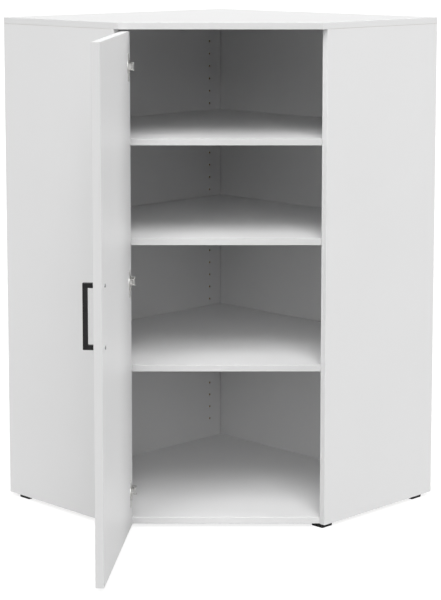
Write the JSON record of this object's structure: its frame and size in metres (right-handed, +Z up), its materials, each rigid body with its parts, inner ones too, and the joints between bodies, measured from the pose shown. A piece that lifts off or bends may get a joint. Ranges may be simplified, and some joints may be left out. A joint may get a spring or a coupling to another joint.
{
  "type": "corner cabinet",
  "caption": "Tall corner cabinet with a diagonal front, a hinged door with a bow handle, loose shelves on pin supports and low square feet.",
  "frame": {"origin": "the room's corner at floor level, where the planes of the two back walls meet", "axes": "+Z up; -Y towards the diagonal front; the door is hung on the -X side and is stored open"},
  "size_m": [1.0098, 1.2072, 1.146],
  "materials": {
    "boards": "satin white laminate",
    "edge_bands": "satin white",
    "handle": "matte black",
    "feet": "matte black",
    "hinges": "nickel plated",
    "screws": "zinc plated",
    "supports": "nickel plated",
    "cams": "die-cast zinc",
    "dowels": "raw beech"
  },
  "bodies": {
    "carcass": {"back_panel_left": "boards", "back_panel_right": "boards", "bottom_edge_band": "edge_bands", "bottom_panel": "boards", "cam_bolts": "screws", "cam_locks": "cams", "corner_screws": "screws", "dowels": "dowels", "foot_corner": "feet", "foot_front_left": "feet", "foot_front_right": "feet", "foot_rear_left": "feet", "foot_rear_right": "feet", "foot_screws": "screws", "hinge_arm_bottom": "hinges", "hinge_arm_middle": "hinges", "hinge_arm_top": "hinges", "hinge_link_pins": "screws", "hinge_plate_bottom": "hinges", "hinge_plate_middle": "hinges", "hinge_plate_screws": "screws", "hinge_plate_top": "hinges", "shelf_edge_band_lower": "edge_bands", "shelf_edge_band_middle": "edge_bands", "shelf_edge_band_upper": "edge_bands", "shelf_lower": "boards", "shelf_middle": "boards", "shelf_supports": "supports", "shelf_upper": "boards", "side_edge_band_left": "edge_bands", "side_edge_band_right": "edge_bands", "side_panel_left": "boards", "side_panel_right": "boards", "top_edge_band": "edge_bands", "top_panel": "boards"},
    "door": {"door_edge_band_bottom": "edge_bands", "door_edge_band_handle_side": "edge_bands", "door_edge_band_hinge_side": "edge_bands", "door_edge_band_top": "edge_bands", "door_panel": "boards", "handle": "handle", "handle_screws": "screws", "hinge_cup_bottom": "hinges", "hinge_cup_middle": "hinges", "hinge_cup_screws": "screws", "hinge_cup_top": "hinges"},
    "outer_links": {"hinge_outer_link_bottom": "hinges", "hinge_outer_link_middle": "hinges", "hinge_outer_link_top": "hinges"},
    "inner_links": {"hinge_inner_link_bottom": "hinges", "hinge_inner_link_middle": "hinges", "hinge_inner_link_top": "hinges"}
  },
  "joints": [
    {"name": "door_swing", "type": "hinge", "parent": "carcass", "child": "door", "pos_m": [-0.21115, -0.7766, 0.569], "axis": [0, 0, 1], "range_deg": [0, 95]},
    {"name": "outer_link_swing", "type": "hinge", "parent": "carcass", "child": "outer_links", "pos_m": [-0.19266, -0.77041, 0.569], "axis": [0, 0, 1], "range_deg": [-61, 0]},
    {"name": "inner_link_swing", "type": "hinge", "parent": "carcass", "child": "inner_links", "pos_m": [-0.19347, -0.76351, 0.569], "axis": [0, 0, 1], "range_deg": [-43, 0]}
  ],
  "couplings": [
    {"joint": "outer_link_swing", "follows": "door_swing", "ratio": -0.634},
    {"joint": "inner_link_swing", "follows": "door_swing", "ratio": -0.444}
  ]
}
